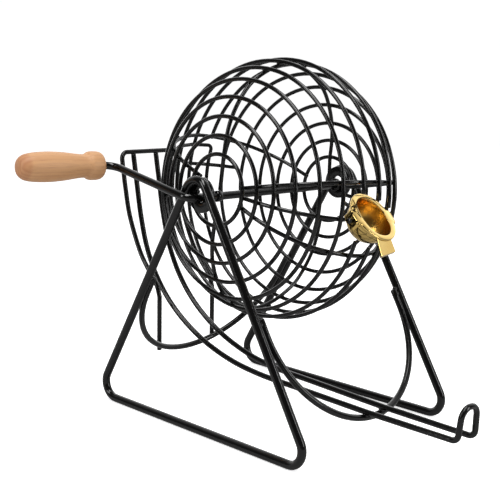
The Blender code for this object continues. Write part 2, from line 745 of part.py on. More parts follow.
def make_tab():
    root = CUP_LIP + SEAT_GAP
    half_turn = math.asin(TAB_ROOT_WIDTH / 2 / root)
    steps = 4
    outline = []
    for i in range(steps + 1):
        turn = half_turn * (1 - 2 * i / steps)
        outline.append((root * math.sin(turn), root * (1 - math.cos(turn))))
    outline += [(-TAB_TIP_WIDTH / 2, -TAB_LENGTH), (TAB_TIP_WIDTH / 2, TAB_SLANT - TAB_LENGTH)]
    tab = plate("catch_tab", [outline], TAB_THICKNESS)
    tab.location = (0, -root, CATCH_PIN_DEPTH - CUP_RIM_THICKNESS / 2)
    tab.rotation_euler.x = math.radians(TAB_BEND)
    return finish(tab, brass_plate, cup_line)


make_tab()
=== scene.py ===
"""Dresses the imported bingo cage: round enamelled wires with their welds, a pressed
brass catch and a turned wooden handle, on a plain pale floor."""
import math

import bmesh
import bpy
import numpy as np
from mathutils import Matrix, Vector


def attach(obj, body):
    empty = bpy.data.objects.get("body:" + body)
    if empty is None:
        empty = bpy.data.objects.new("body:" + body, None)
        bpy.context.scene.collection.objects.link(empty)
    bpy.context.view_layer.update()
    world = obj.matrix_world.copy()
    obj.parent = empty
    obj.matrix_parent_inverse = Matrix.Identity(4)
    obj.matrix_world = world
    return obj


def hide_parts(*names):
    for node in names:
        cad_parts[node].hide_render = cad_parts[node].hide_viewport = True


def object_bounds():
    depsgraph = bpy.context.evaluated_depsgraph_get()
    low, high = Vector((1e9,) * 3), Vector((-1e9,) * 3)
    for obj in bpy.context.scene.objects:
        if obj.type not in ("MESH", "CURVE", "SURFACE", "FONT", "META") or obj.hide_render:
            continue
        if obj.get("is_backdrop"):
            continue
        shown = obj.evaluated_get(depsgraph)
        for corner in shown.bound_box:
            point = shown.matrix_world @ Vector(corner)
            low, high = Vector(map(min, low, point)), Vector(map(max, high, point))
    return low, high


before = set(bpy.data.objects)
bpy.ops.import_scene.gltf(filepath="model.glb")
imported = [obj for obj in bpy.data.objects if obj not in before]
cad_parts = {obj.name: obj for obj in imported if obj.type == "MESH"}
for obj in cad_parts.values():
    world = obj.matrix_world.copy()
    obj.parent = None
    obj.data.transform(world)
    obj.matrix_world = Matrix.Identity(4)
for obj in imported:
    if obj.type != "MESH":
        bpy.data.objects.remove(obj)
cad_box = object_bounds()


# Camera: in front of the stand on the crank's side and a little above the axle, turned so
# that both frames, the rails and the cage's hoops fall where the photograph has them.
camera_data = bpy.data.cameras.new("camera")
camera_data.lens = 71.69
camera_data.sensor_width = 36
camera = bpy.data.objects.new("camera", camera_data)
bpy.context.scene.collection.objects.link(camera)
camera.matrix_world = Matrix((
    (0.7068, 0.1090, -0.6990, -0.47294),
    (-0.7072, 0.1347, -0.6941, -0.52457),
    (0.0185, 0.9849, 0.1723, 0.26143),
    (0, 0, 0, 1),
))
bpy.context.scene.camera = camera


# Stand: two triangles of heavy steel wire, each bent as one loop and butt welded, then
# dipped with the rest in black enamel, which pulls thin over the wire and pools at welds.
# The enamel and the way a wire is drawn along its path are first used here.
class Signal:
    """The output of a shader node, which plain sums and products carry on as Math nodes."""

    def __init__(self, nodes, socket):
        self.nodes, self.socket = nodes, socket

    def work(self, operation, *values):
        return self.nodes.add("Math", {"operation": operation}, dict(enumerate(values)))

    def __add__(self, other):
        return self.work("ADD", self, other)

    def __radd__(self, other):
        return self.work("ADD", other, self)

    def __sub__(self, other):
        return self.work("SUBTRACT", self, other)

    def __rsub__(self, other):
        return self.work("SUBTRACT", other, self)

    def __mul__(self, other):
        return self.work("MULTIPLY", self, other)

    def __rmul__(self, other):
        return self.work("MULTIPLY", other, self)

    def between(self, low, high):
        """0 below low, 1 above high and a soft step between."""
        settings = {"interpolation_type": "SMOOTHSTEP"}
        return self.nodes.add("MapRange", settings, {"Value": self, "From Min": low, "From Max": high})


class NodeBench:
    """The nodes of a material or of the world, whose inputs take plain values or signals."""

    def __init__(self, tree):
        self.tree = tree

    def feed(self, socket, value):
        if isinstance(value, Signal):
            self.tree.links.new(value.socket, socket)
        elif isinstance(value, tuple) and len(value) == 3 and socket.type == "RGBA":
            socket.default_value = (*value, 1)
        else:
            socket.default_value = value

    def add(self, kind, settings, values, output=0):
        """A node with its settings and its inputs, by name or by number."""
        node = self.tree.nodes.new("ShaderNode" + kind)
        for key, value in settings.items():
            setattr(node, key, value)
        for key, value in values.items():
            self.feed(node.inputs[key], value)
        return Signal(self, node.outputs[output])


class Finish(NodeBench):
    """A material: fixed values go straight to its shader, and signals are joined to it."""

    def __init__(self, name, **fixed):
        self.material = bpy.data.materials.new(name)
        self.material.use_nodes = True
        super().__init__(self.material.node_tree)
        self.shader = self.tree.nodes["Principled BSDF"]
        self.set(**fixed)
        self.place = self.add("TexCoord", {}, {}, "Object")

    def noise(self, scale, detail=3.0, place=None, roughness=0.5):
        values = {"Vector": place or self.place, "Scale": scale, "Detail": detail, "Roughness": roughness}
        return self.add("TexNoise", {}, values)

    def mixed(self, share, first, second):
        """One colour going over into another."""
        node = self.tree.nodes.new("ShaderNodeMix")
        node.data_type = "RGBA"
        for socket, value in ((0, share), (6, first), (7, second)):
            self.feed(node.inputs[socket], value)
        return Signal(self, node.outputs[2])

    def set(self, **signals):
        for socket, value in signals.items():
            self.feed(self.shader.inputs[socket.replace("_", " ")], value)

    def relief(self, height, distance, strength):
        values = {"Height": height, "Distance": distance, "Strength": strength}
        self.set(Normal=self.add("Bump", {}, values))


def enamel(name):
    """Glossy black enamel: slow uneven gloss, fine orange peel and a little rubbed dust."""
    finish = Finish(name, Specular_IOR_Level=0.50)
    cloud = finish.noise(55.0, 4.0)
    rubbed = finish.noise(420.0, 5.0, roughness=0.65).between(0.56, 0.78) * cloud.between(0.40, 0.70)
    black, dust = (0.0022, 0.0021, 0.0020), (0.016, 0.014, 0.012)
    orange_peel = finish.noise(900.0, 2.0) + finish.noise(240.0, 2.0) * 2.0
    finish.set(Base_Color=finish.mixed(rubbed, black, dust))
    finish.set(Roughness=0.10 + cloud * 0.08 + rubbed * 0.20)
    finish.relief(orange_peel, 0.00008, 0.5)
    return finish.material


frame_enamel = enamel("frame_enamel")


def unit(vectors):
    return vectors / np.linalg.norm(vectors, axis=-1, keepdims=True)


def full_turn(columns):
    """Even angles once round: the column's number times a full turn over their count."""
    return np.arange(columns) * 2 * math.pi / columns


def drawn(path, radius, side, closed=False, sides=20):
    """A round wire. Each row is a circle about a point of the path, in the plane square to
    the path's direction there, started from the side vector made square to it."""
    path = np.asarray(path, float)
    if closed:
        along = unit(np.roll(path, -1, 0) - np.roll(path, 1, 0))
    else:
        along = unit(np.gradient(path, axis=0))
    side = np.broadcast_to(np.asarray(side, float), path.shape)
    first = unit(side - along * np.sum(side * along, 1, keepdims=True))
    second = np.cross(along, first)
    turn = full_turn(sides)[None, :, None]
    radius = np.broadcast_to(radius, len(path))[:, None, None]
    return path[:, None] + radius * (np.cos(turn) * first[:, None] + np.sin(turn) * second[:, None])


def skinned(name, grids, material, body, *nodes, joined=False, capped=True):
    """A mesh from grids of points, rows along a piece and columns round it, which rides on
    a body and stands for its CAD nodes. Rows close up on themselves where joined is true."""
    points, faces, first = [], [], 0
    for grid in grids:
        rows, columns = grid.shape[:2]
        index = first + np.arange(rows * columns).reshape(rows, columns)
        here, there = (index, np.roll(index, -1, 0)) if joined else (index[:-1], index[1:])
        quads = np.stack([here, np.roll(here, -1, 1), np.roll(there, -1, 1), there], -1).reshape(-1, 4)
        faces += quads.tolist()
        if capped and not joined:
            faces += [index[0, ::-1].tolist(), index[-1].tolist()]
        points.append(grid.reshape(-1, 3))
        first += rows * columns
    mesh = bpy.data.meshes.new(name)
    mesh.from_pydata(np.concatenate(points).tolist(), [], faces)
    shell = bmesh.new()
    shell.from_mesh(mesh)
    bmesh.ops.remove_doubles(shell, verts=shell.verts, dist=1e-6)
    shell.to_mesh(mesh)
    shell.free()
    mesh.shade_smooth()
    mesh.set_sharp_from_angle(angle=math.radians(50))
    mesh.materials.append(material)
    piece = bpy.data.objects.new(name, mesh)
    bpy.context.scene.collection.objects.link(piece)
    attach(piece, body)
    if nodes:
        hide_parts(*nodes)
    return piece


def rounded(corners, radii, closed=False, steps=12):
    """Straight runs with an arc at each corner: the arc's middle lies on the corner's
    half-angle line, at radius / sin(half angle) from the corner."""
    corners = [np.asarray(corner, float) for corner in corners]
    count = len(corners)
    radii = np.broadcast_to(radii, count)
    course = []
    for i in range(count):
        corner = corners[i]
        if not closed and i in (0, count - 1):
            course.append(corner[None])
            continue
        back, ahead = unit(corners[i - 1] - corner), unit(corners[(i + 1) % count] - corner)
        half = math.acos(back @ ahead) / 2
        middle = corner + unit(back + ahead) * radii[i] / math.sin(half)
        first = unit(corner + back * radii[i] / math.tan(half) - middle)
        last = unit(corner + ahead * radii[i] / math.tan(half) - middle)
        sweep = math.pi - 2 * half
        share = np.linspace(0, 1, steps + 1)[:, None]
        arc = (np.sin((1 - share) * sweep) * first + np.sin(share * sweep) * last) / math.sin(sweep)
        course.append(middle + radii[i] * arc)
    return np.vstack(course)


frame_wire = 0.0064
foot_height = frame_wire / 2 * math.cos(math.pi / 10)
spacing = 0.1618
half_spacing = spacing / 2
foot_half_depth = 0.1163
apex_height = 0.196
leg_slope = foot_half_depth / apex_height
foot_bend, apex_bend = 0.012, 0.0118
for name, across in (("near_frame", 0.0), ("far_frame", spacing)):
    loop = rounded(
        [(across, -foot_half_depth, foot_height), (across, foot_half_depth, foot_height),
         (across, 0, foot_height + apex_height)],
        [foot_bend, foot_bend, apex_bend],
        closed=True,
    )
    wire = drawn(loop, frame_wire / 2, (1, 0, 0), closed=True, sides=24)
    wire[..., 2] = np.maximum(wire[..., 2], 0.0)
    skinned(name + "_wire", [wire], frame_enamel, "stand", name, joined=True)


# Braces: two half circles of thinner steel wire, welded inside the front legs and the back
# legs, whose ends run on up along the legs. Welded wires keep a hair's gap, as the solids do.
def cropped(path, radius, side, sides=20):
    """A wire with cut ends: its first and last rows step in to a small rounded edge."""
    path = np.asarray(path, float)
    start, end = unit(path[0] - path[1]), unit(path[-1] - path[-2])
    steps = np.array([0.0, 0.10, 0.35])[:, None] * radius
    body = path[1:-1]
    path = np.vstack([path[0] - start * steps, body, (path[-1] - end * steps)[::-1]])
    edge = np.array([0.70, 0.92, 1.0])
    return drawn(path, radius * np.concatenate([edge, np.ones(len(body)), edge[::-1]]), side, sides=sides)


def divided(path, longest):
    """The same path with points added, so that no stretch is longer than this."""
    path = np.asarray(path, float)
    lengths = np.linalg.norm(np.diff(path, axis=0), axis=1)
    way = np.concatenate([[0], np.cumsum(lengths)])
    counts = np.maximum(2, (lengths / longest).astype(int) + 2)
    runs = [np.linspace(way[i], way[i + 1], count) for i, count in enumerate(counts)]
    stops = np.unique(np.concatenate(runs).round(9))
    return np.stack([np.interp(stops, way, path[:, k]) for k in range(3)], -1)


brace_wire = 0.0048
seat_gap = 0.0003
brace_radius = half_spacing - frame_wire / 2 - brace_wire / 2 - seat_gap
front_bottom, front_top = 0.0186, 0.0935
back_bottom, back_top = 0.0284, 0.1045
slant = math.hypot(1, leg_slope)
weld_below_end, weld_above_middle = 0.004, 0.012
brace_welds = []
for name, bottom, top, side in (("front_brace", front_bottom, front_top, -1),
                                ("back_brace", back_bottom, back_top, 1)):
    turn = np.linspace(0, math.pi, 60)
    centre = bottom * slant + brace_radius
    way = np.concatenate([[top * slant], centre - brace_radius * np.sin(turn), [top * slant]])
    across = np.concatenate([[-brace_radius], -brace_radius * np.cos(turn), [brace_radius]])
    up = np.array([0, -side * foot_half_depth, apex_height]) / (apex_height * slant)
    foot = np.array([half_spacing, side * foot_half_depth, foot_height])
    course = foot + across[:, None] * np.array([1.0, 0, 0]) + way[:, None] * up
    wire = cropped(divided(course, longest=0.010), brace_wire / 2, np.cross(up, (1, 0, 0)))
    skinned(name + "_wire", [wire], frame_enamel, "stand", name)
    for end in (-1, 1):
        for height in (top * slant - weld_below_end, centre + weld_above_middle):
            brace_welds.append(foot + np.array([end * (brace_radius + brace_wire / 2), 0, 0]) + height * up)


# Guard: an upside-down U of thin steel wire behind the cage, its posts welded to the back
# brace. The ball rails hang from its bar.
def softened(points, steps=6):
    """A soft curve through points, by cubic pieces whose slope at a point is half the way
    between its two neighbours."""
    points = np.asarray(points, float)
    longer = np.vstack([2 * points[0] - points[1], points, 2 * points[-1] - points[-2]])
    before, start, end, after = (longer[k:len(longer) - 3 + k, None] for k in range(4))
    way = (np.arange(steps) / steps)[None, :, None]
    first = end - before
    second = 2 * before - 5 * start + 4 * end - after
    third = 3 * start - before - 3 * end + after
    curve = start + (first * way + second * way ** 2 + third * way ** 3) / 2
    return np.vstack([curve.reshape(-1, 3), points[-1:]])


def brace_height(bottom, across):
    """How high a brace's middle line is, across from the stand's middle."""
    return bottom + (brace_radius - math.sqrt(brace_radius ** 2 - across ** 2)) / slant


rail_wire = 0.0040
guard_half = 0.030
guard_bar = np.array([0.775, 0.981]) * apex_height
guard_shares = ((0.752, 0.850), (0.718, 0.711), (0.650, 0.568), (0.589, 0.490), (0.536, 0.433))
guard_post_share, post_overlap, guard_bend = 0.385, 0.0045, 0.006
meeting = brace_height(back_bottom, guard_half)
slope_back = guard_half / math.sqrt(brace_radius ** 2 - guard_half ** 2) * leg_slope / slant
apart = (brace_wire + rail_wire) / 2 + seat_gap
post_back = foot_half_depth - meeting * leg_slope + apart * math.hypot(1, slope_back)
posts = [(0, back * apex_height, height * apex_height) for back, height in guard_shares]
posts = softened(posts + [(0, post_back, guard_post_share * apex_height)])
posts = np.vstack([posts, (0, post_back, meeting - post_overlap)])
aside = np.array([guard_half, 0, 0])
bar = np.array([0, *guard_bar])
top = rounded([posts[0] - aside, bar - aside, bar + aside, posts[0] + aside], guard_bend)
course = np.vstack([posts[::-1] - aside, top[1:-1], posts + aside]) + (half_spacing, 0, foot_height)
wire = cropped(divided(course, longest=0.008), rail_wire / 2, (0, 1, 0))
skinned("back_guard_wire", [wire], frame_enamel, "stand", "back_guard")


# Ball rails: one steel wire that comes down under the cage as two rails, rests on the front
# brace and turns up into the narrow, slightly twisted loop that stops the balls.
rail_gap_top, rail_gap_front = 0.0249, 0.0164
rail_shift_top, rail_shift_front = -0.0046, -0.0010
rail_start_share, stop_share = 0.650, -0.930


def rail_across(back, sign):
    """A rail's place across the stand. The pair's middle and the gap between them change
    evenly from where the rails leave the guard to the stop."""
    way = np.clip((rail_start_share - back / apex_height) / (rail_start_share - stop_share), 0, 1)
    middle = rail_shift_top + (rail_shift_front - rail_shift_top) * way
    gap = rail_gap_top + (rail_gap_front - rail_gap_top) * way
    return middle + sign * gap / 2


rail_shares = (
    (0.752, 0.850), (0.722, 0.700), (0.677, 0.560), (0.600, 0.430), (0.490, 0.320),
    (0.340, 0.230), (0.170, 0.172), (0.000, 0.145), (-0.200, 0.135),
)
rest_across = 0.00625
rest = brace_height(front_bottom, rest_across)
profile = [(0, guard_bar[0], guard_bar[1] - rail_wire / 2 - seat_gap)]
profile += [(0, back * apex_height, height * apex_height) for back, height in rail_shares]
profile.append((0, -(foot_half_depth - rest * leg_slope), rest + apart))
profile = softened(profile)
near_rail, far_rail = (
    np.stack([rail_across(profile[:, 1], sign), profile[:, 1], profile[:, 2]], -1) for sign in (-1, 1)
)
stop_low_share, stop_height = 0.112, 0.0232
stop_back, stop_low = stop_share * apex_height, stop_low_share * apex_height
stop_high = stop_low + stop_height
stop_twist, near_lean, far_lean = 0.0014, 0.0012, 0.0020
foot_corner, near_corner, far_corner = 0.005, 0.0079, 0.0070
rail_coat = 0.0002
left, right = rail_across(stop_back, -1), rail_across(stop_back, 1)
loop = rounded(
    [near_rail[-1], (left, stop_back + stop_twist, stop_low), (left, stop_back - near_lean, stop_high),
     (right, stop_back - far_lean, stop_high), (right, stop_back - stop_twist, stop_low), far_rail[-1]],
    [0, foot_corner, near_corner, far_corner, foot_corner, 0],
)
course = np.vstack([near_rail, loop[1:-1], far_rail[::-1]]) + (half_spacing, 0, foot_height)
wire = cropped(divided(course, longest=0.008), rail_wire / 2 + rail_coat, (1, 1, 0), sides=18)
skinned("ball_rail_wire", [wire], frame_enamel, "stand", "ball_rails")


# Bearing discs: punched steel washers welded inside the tops of the frames, with holes much
# wider than the axle, which lies in the bottom of them.
def turned(radius, height, turn):
    """A surface turned about its own axis: radius times cosine, radius times sine, height."""
    return np.stack([radius * np.cos(turn), radius * np.sin(turn), height + 0 * turn], -1)


def washer(outline, hole, thickness, edge, columns=64):
    """A plate between two closed outlines, given as distances from the middle for each
    column's angle: up the outer wall, in over the face, down the hole and out below."""
    outer, inner = np.broadcast_to(outline, columns), np.broadcast_to(hole, columns)
    high, low = thickness / 2, thickness / 2 - edge
    rows = [outer, outer, outer - edge, inner + edge, inner, inner, inner + edge, outer - edge]
    heights = np.array([-low, low, high, high, low, -low, -high, -high])[:, None]
    return turned(np.stack(rows), heights, full_turn(columns))


def set_at(grid, middle, right_way, up_way):
    """Moves a grid from its own axes to a place: its x, y and z run along right, up and
    their cross product."""
    return middle + grid @ np.stack([right_way, up_way, np.cross(right_way, up_way)])


axle_rise = 0.1717
axle_height = foot_height + axle_rise
bearing_radius = 0.0129
bearing_thickness, bearing_edge = 0.003, 0.0004
axle_radius = 0.0059 / 2
bore_radius = 0.0104 / 2
bearing_rise = bore_radius - axle_radius - seat_gap
x_way, y_way, z_way = np.eye(3)
bearing_inset = frame_wire / 2 + seat_gap + bearing_thickness / 2
for name, across in (("near_bearing_disc", bearing_inset), ("far_bearing_disc", spacing - bearing_inset)):
    middle = np.array([across, 0, axle_height + bearing_rise])
    disc = washer(bearing_radius, bore_radius, bearing_thickness, bearing_edge)
    disc = set_at(disc, middle, y_way, z_way)
    skinned(name + "_plate", [disc], frame_enamel, "stand", name, joined=True)


# Crank and axle: one steel rod, bent twice at its near end into the crank's arm and pin. A
# short sleeve holds the cage on it and a collar keeps it from sliding out.
crank_enamel = enamel("crank_enamel")
axle_middle = np.array([half_spacing, 0, axle_height])
rise, splay = math.radians(11.3), math.radians(5.7)
arm_way = np.array([0, math.cos(rise), math.sin(rise)])
pin_way = np.array([-math.cos(splay), 0, 0]) + arm_way * math.sin(splay)
arm_length, pin_shoulder, pin_length, rod_overhang = 0.089, 0.0063, 0.056, 0.005
elbow_bend, corner_bend = 0.0075, 0.0105
elbow_x = -0.0073
elbow = np.array([elbow_x, 0, axle_height])
corner = elbow + arm_way * arm_length
tip = corner + pin_way * (pin_shoulder + pin_length)
rod_end = np.array([spacing + frame_wire / 2 + rod_overhang, 0, axle_height])
rod = rounded([rod_end, elbow, corner, tip], [0, elbow_bend, corner_bend, 0], steps=14)
rod = divided(rod, longest=0.012)
skinned("crank_rod", [cropped(rod, axle_radius, np.cross(x_way, arm_way), sides=28)],
        crank_enamel, "cage", "axle_and_crank")
sleeve_radius, sleeve_length, sleeve_x = 0.0041, 0.0045, 0.0209
collar_radius, collar_length = 0.0052, 0.004
ring_play, ring_edge = 0.0002, 0.0005
collar_x = spacing - frame_wire / 2 - 2 * seat_gap - bearing_thickness - collar_length / 2
for name, node, x, radius, length in (
    ("hub_sleeve", "near_hub_sleeve", sleeve_x, sleeve_radius, sleeve_length),
    ("stop_collar", "far_stop_collar", collar_x, collar_radius, collar_length),
):
    ring = washer(radius, axle_radius + ring_play, length, ring_edge, columns=32)
    ring = set_at(ring, np.array([x, 0, axle_height]), y_way, z_way)
    skinned(name, [ring], crank_enamel, "cage", node, joined=True)


# Cage: fifteen hoops of thin wire in a row, the biggest in the middle, spot welded to the
# ribs that run inside them. The whole cage sits slightly askew on its rod, as hand-set
# work does.
cage_enamel = enamel("cage_enamel")
cage_wire = 0.0031
cage_radius = 0.0992
cage_half = 0.0647
hoop_squash = 0.986
tilt, skew = math.radians(3.52), math.radians(1.83)
cage_shift = (0.0013, 0, 0.0009)
cage_middle = axle_middle + cage_shift
tilted = np.array([[math.cos(tilt), 0, math.sin(tilt)], [0, 1, 0], [-math.sin(tilt), 0, math.cos(tilt)]])
skewed = np.array([[math.cos(skew), -math.sin(skew), 0], [math.sin(skew), math.cos(skew), 0], [0, 0, 1]])
cage_turn = skewed @ tilted
hoop_shares = np.array([
    (1.000, 0.263), (0.991, 0.399), (0.948, 0.539), (0.845, 0.684),
    (0.688, 0.819), (0.470, 0.914), (0.238, 0.977), (0.000, 1.000),
])
hoop_along = np.concatenate([-hoop_shares[:, 0], hoop_shares[-2::-1, 0]]) * cage_half
# The solids' hoops have straight sides, so the round ones here are drawn a hair smaller.
drawn_in = 0.9964
hoop_radius = np.concatenate([hoop_shares[:, 1], hoop_shares[-2::-1, 1]]) * cage_radius * drawn_in
hoop_count, hoop_step = len(hoop_along), 3.6


def on_cage(along, radius, degrees):
    """Places in the cage's own askew frame: along its line, out from it, above the front."""
    turn = np.radians(degrees)
    along, radius, turn = np.broadcast_arrays(along, radius, turn)
    own = np.stack([along, -radius * np.cos(turn) * hoop_squash, radius * np.sin(turn)], -1)
    return cage_middle + own @ cage_turn.T


def cage_way(own):
    """A direction in the cage's askew frame, turned into the world's."""
    return cage_turn @ np.asarray(own, float)


def round_cage(degrees):
    """The way round the cage at this angle above its front."""
    turn = math.radians(degrees)
    return cage_way((0, math.sin(turn), math.cos(turn)))


def cage_rod(name, course, side, node):
    """A length of the cage's wire, cut at both ends, along a course."""
    skinned(name, [cropped(course, cage_wire / 2, side, 14)], cage_enamel, "cage", node)


hoop_axis = cage_way((1, 0, 0))
cut_spans = {6: [(3.2, 343.1)], 7: [(0.5, 340.4)], 8: [(-2.9, 159.0), (187.0, 345.6)]}
for number, (along, radius) in enumerate(zip(hoop_along, hoop_radius)):
    name = f"cage_ring_{number + 1:02d}"
    if number not in cut_spans:
        loop = on_cage(along, radius, np.arange(0, 360, hoop_step))
        hoop = drawn(loop, cage_wire / 2, hoop_axis, True, 14)
        skinned(name + "_hoop", [hoop], cage_enamel, "cage", name, joined=True)
        continue
    for (low, high), ending in zip(cut_spans[number], ("", "_low")):
        turns = np.linspace(low, high, int((high - low) / hoop_step))
        cage_rod(name + ending + "_hoop", on_cage(along, radius, turns), hoop_axis, name + ending)


# Ribs: six wires bent to the cage's barrel shape and spot welded inside the hoops. Five
# turn in over the end hoops; one carries on to the rod at both ends and carries the cage.
rib_inset = cage_wire + seat_gap
slope = unit(np.stack([np.gradient(hoop_along), np.gradient(hoop_radius)], -1))
rib_along = hoop_along + slope[:, 1] * rib_inset
rib_radius = hoop_radius - slope[:, 0] * rib_inset
end_in = 0.15 * hoop_radius[0]
weld_spots = []
for name, degrees in (("cage_rib_1", -97.5), ("cage_rib_2", -24.75), ("cage_rib_3", 8.25),
                      ("cage_rib_4", 157.25), ("cage_rib_5", 188.0)):
    along = np.concatenate([rib_along[:1], rib_along, rib_along[-1:]])
    radius = np.concatenate([rib_radius[:1] - end_in, rib_radius, rib_radius[-1:] - end_in])
    cage_rod(name + "_wire", softened(on_cage(along, radius, degrees), 4), round_cage(degrees), name)
    weld_spots.append((degrees, np.arange(hoop_count)))

spoke_degrees, spoke_gap = 85.0, 0.0002
spoke = softened(on_cage(rib_along, rib_radius, spoke_degrees), 4)
spoke_ends = []
for place, radius in ((spoke[0], sleeve_radius), (spoke[-1], axle_radius)):
    on_rod = axle_middle + x_way * (place[0] - half_spacing)
    spoke_ends.append(on_rod + unit(place - on_rod) * (radius + spoke_gap))
course = divided(np.vstack([spoke_ends[0], spoke, spoke_ends[1]]), longest=0.008)
cage_rod("cage_spoke_wire", course, round_cage(spoke_degrees), "cage_spoke_rib")
weld_spots.append((spoke_degrees, np.arange(hoop_count)))


# Side ribs: two short wires of the same kind, each from one end of the cage to beneath one
# of the catch's pins, which is welded across its end.
side_degrees = -8.45
catch_turn, mouth_turn = math.radians(-6.2), math.radians(42.5)
mouth_out = np.array([0, -math.cos(mouth_turn), math.sin(mouth_turn)])
pin_depth, pin_radius, pin_end = 0.0044, 0.0021, 0.0251
rib_short_of_end = 0.0014
catch_reach, catch_aside = 0.968 * cage_radius, -0.0018
catch_own = np.array([
    catch_aside, -catch_reach * math.cos(catch_turn), catch_reach * math.sin(catch_turn),
])
pin_own = catch_own - mouth_out * pin_depth
along = np.concatenate([rib_along[:1], rib_along[:6]])
radius = np.concatenate([rib_radius[:1] - end_in, rib_radius[:6]])
outward = unit(pin_own * (0, 1, 1))
for name, sign in (("catch_near_rib", -1), ("catch_far_rib", 1)):
    below_pin = outward * (pin_radius + cage_wire / 2 + seat_gap)
    last = pin_own + (sign * (pin_end - rib_short_of_end), 0, 0) - below_pin
    course = np.vstack([on_cage(-sign * along, radius, side_degrees), cage_middle + cage_way(last)])
    cage_rod(name + "_wire", softened(course, 4), round_cage(side_degrees), name)
weld_spots.append((side_degrees, np.r_[0:6, 9:15]))


# Gate: a wire of the cage's own kind, bent up, across and down inside the back of the hoops,
# and a short straight one across the hoops outside them. How it opens cannot be seen.
gate_near, gate_far, gate_top, gate_foot, gate_bend = -0.0281, 0.0152, 162.0, 186.0, 0.004


def hoop_surface(along):
    """The hoops' radius between them, on a straight line from each to the next."""
    return np.interp(along, hoop_along, hoop_radius)


bend_turn = np.linspace(0, math.pi / 2, 10)
bend_degrees = math.degrees(gate_bend / cage_radius)
climb = np.linspace(gate_foot, gate_top + bend_degrees, 12)[:-1]
along = np.concatenate([
    np.full(11, gate_near), gate_near + gate_bend * (1 - np.cos(bend_turn)), [(gate_near + gate_far) / 2],
    gate_far - gate_bend * (1 - np.sin(bend_turn)), np.full(11, gate_far),
])
degrees = np.concatenate([
    climb, gate_top + bend_degrees * (1 - np.sin(bend_turn)), [gate_top],
    gate_top + bend_degrees * (1 - np.cos(bend_turn)), climb[::-1],
])
course = divided(on_cage(along, hoop_surface(along) - rib_inset, degrees), longest=0.004)
cage_rod("gate_frame_wire", course, hoop_axis, "gate_frame")
gate_stop_start, gate_stop_end, gate_stop_degrees = 0.0006, 0.0440, 172.8
along = np.linspace(gate_stop_start, gate_stop_end, 16)
end_slope = (hoop_radius[9] - hoop_radius[10]) / (hoop_along[10] - hoop_along[9])
standoff = rib_inset * math.hypot(1, end_slope) / hoop_squash
course = on_cage(along, hoop_surface(along) + standoff, gate_stop_degrees)
cage_rod("gate_stop_wire_rod", course, cage_way((0, 0, 1)), "gate_stop_wire")


# Welds: a small flattened bead of the wires' own steel where each rib crosses a hoop, and
# bigger ones where the braces, the guard and the rails meet the stand, all under the enamel.
def beads(middles, radii, axes, rows=6, columns=8):
    """Egg-shaped beads: for each one, middle + its three half sizes times the ball's
    points, turned by its axes."""
    down = np.linspace(0, math.pi, rows)[:, None]
    ball = turned(np.sin(down), -np.cos(down), full_turn(columns))
    return [middle + (ball * half_sizes) @ own for middle, half_sizes, own in zip(middles, radii, axes)]


rib_bead, stand_bead = (0.0017, 0.0017, 0.0011), (0.0022, 0.0022, 0.0022)
grids = []
for degrees, hoops in weld_spots:
    turn = math.radians(degrees)
    outward = cage_way((0, -math.cos(turn), math.sin(turn)))
    axes = np.stack([hoop_axis, np.cross(outward, hoop_axis), outward])
    along = (hoop_along[hoops] + rib_along[hoops]) / 2
    radius = (hoop_radius[hoops] + rib_radius[hoops]) / 2
    middles = on_cage(along, radius, degrees)
    grids += beads(middles, np.tile(rib_bead, (len(middles), 1)), [axes] * len(middles))
skinned("cage_weld_beads", grids, cage_enamel, "cage", capped=False)
stand_welds = list(brace_welds)
for sign in (-1, 1):
    front_across, top_across = rail_across(profile[-1, 1], sign), rail_across(profile[0, 1], sign)
    spots = (
        (sign * guard_half, post_back - apart / 2, meeting),
        (front_across, profile[-1, 1], profile[-1, 2] - apart / 2),
        (top_across, guard_bar[0], guard_bar[1] - rail_wire / 2),
    )
    stand_welds += [np.array(spot) + (half_spacing, 0, foot_height) for spot in spots]
sizes = np.tile(stand_bead, (len(stand_welds), 1))
skinned("stand_weld_beads", beads(stand_welds, sizes, [np.eye(3)] * len(stand_welds), 8, 12),
        frame_enamel, "stand", capped=False)


# Catch: a cup pressed from brass sheet, its rim rolled over, that hangs between two pins
# and tips to take one ball. Two ears are soldered to its rim, and a thumb tab runs on
# from its front. The brass is bright, with the faint streaks of its pressing; inside the
# cup it is painted a darker amber, which is painted shade.
cup_own_up = np.array([0, math.sin(mouth_turn), math.cos(mouth_turn)])
cup_middle = cage_middle + cage_way(catch_own)
cup_right, cup_up = cage_way((1, 0, 0)), cage_way(cup_own_up)
cup_radius, cup_wall, collar_depth, lip = 0.0174, 0.001, 0.0035, 0.0204
mouth_way = np.cross(cup_right, cup_up)

brass = Finish("bright_brass", Metallic=1.0)
haze = brass.noise(70.0, 4.0)
drawn_out = brass.add("Mapping", {}, {"Vector": brass.place, "Scale": (300.0, 1500.0, 1500.0)})
streak = brass.noise(1.0, 3.0, drawn_out)
from_mouth = brass.add("VectorMath", {"operation": "SUBTRACT"}, {0: brass.place, 1: tuple(cup_middle)})
downwards = {0: from_mouth, 1: tuple(-mouth_way)}
depth = brass.add("VectorMath", {"operation": "DOT_PRODUCT"}, downwards, "Value")
from_centre = {0: brass.place, 1: tuple(cup_middle - mouth_way * collar_depth)}
reach = brass.add("VectorMath", {"operation": "DISTANCE"}, from_centre, "Value")
below_rim, through_wall = (0.0006, 0.0014), (0.01665, 0.01715)
# Painted shade: below the rim and inside the wall the brass is painted a darker amber for the shade in the
# cup's hollow. It is also rougher there.
inside_painted_shade = depth.between(*below_rim) * (1.0 - reach.between(*through_wall))
dulled = haze.between(0.35, 0.70)
pale = brass.mixed(dulled, (0.84, 0.60, 0.21), (0.78, 0.53, 0.17))
painted_shade_amber = brass.mixed(dulled, (0.74, 0.46, 0.12), (0.60, 0.34, 0.07))
brass.set(Base_Color=brass.mixed(inside_painted_shade, pale, painted_shade_amber))
brass.set(Roughness=0.07 + haze * 0.05 + streak * 0.02 + inside_painted_shade * 0.17)
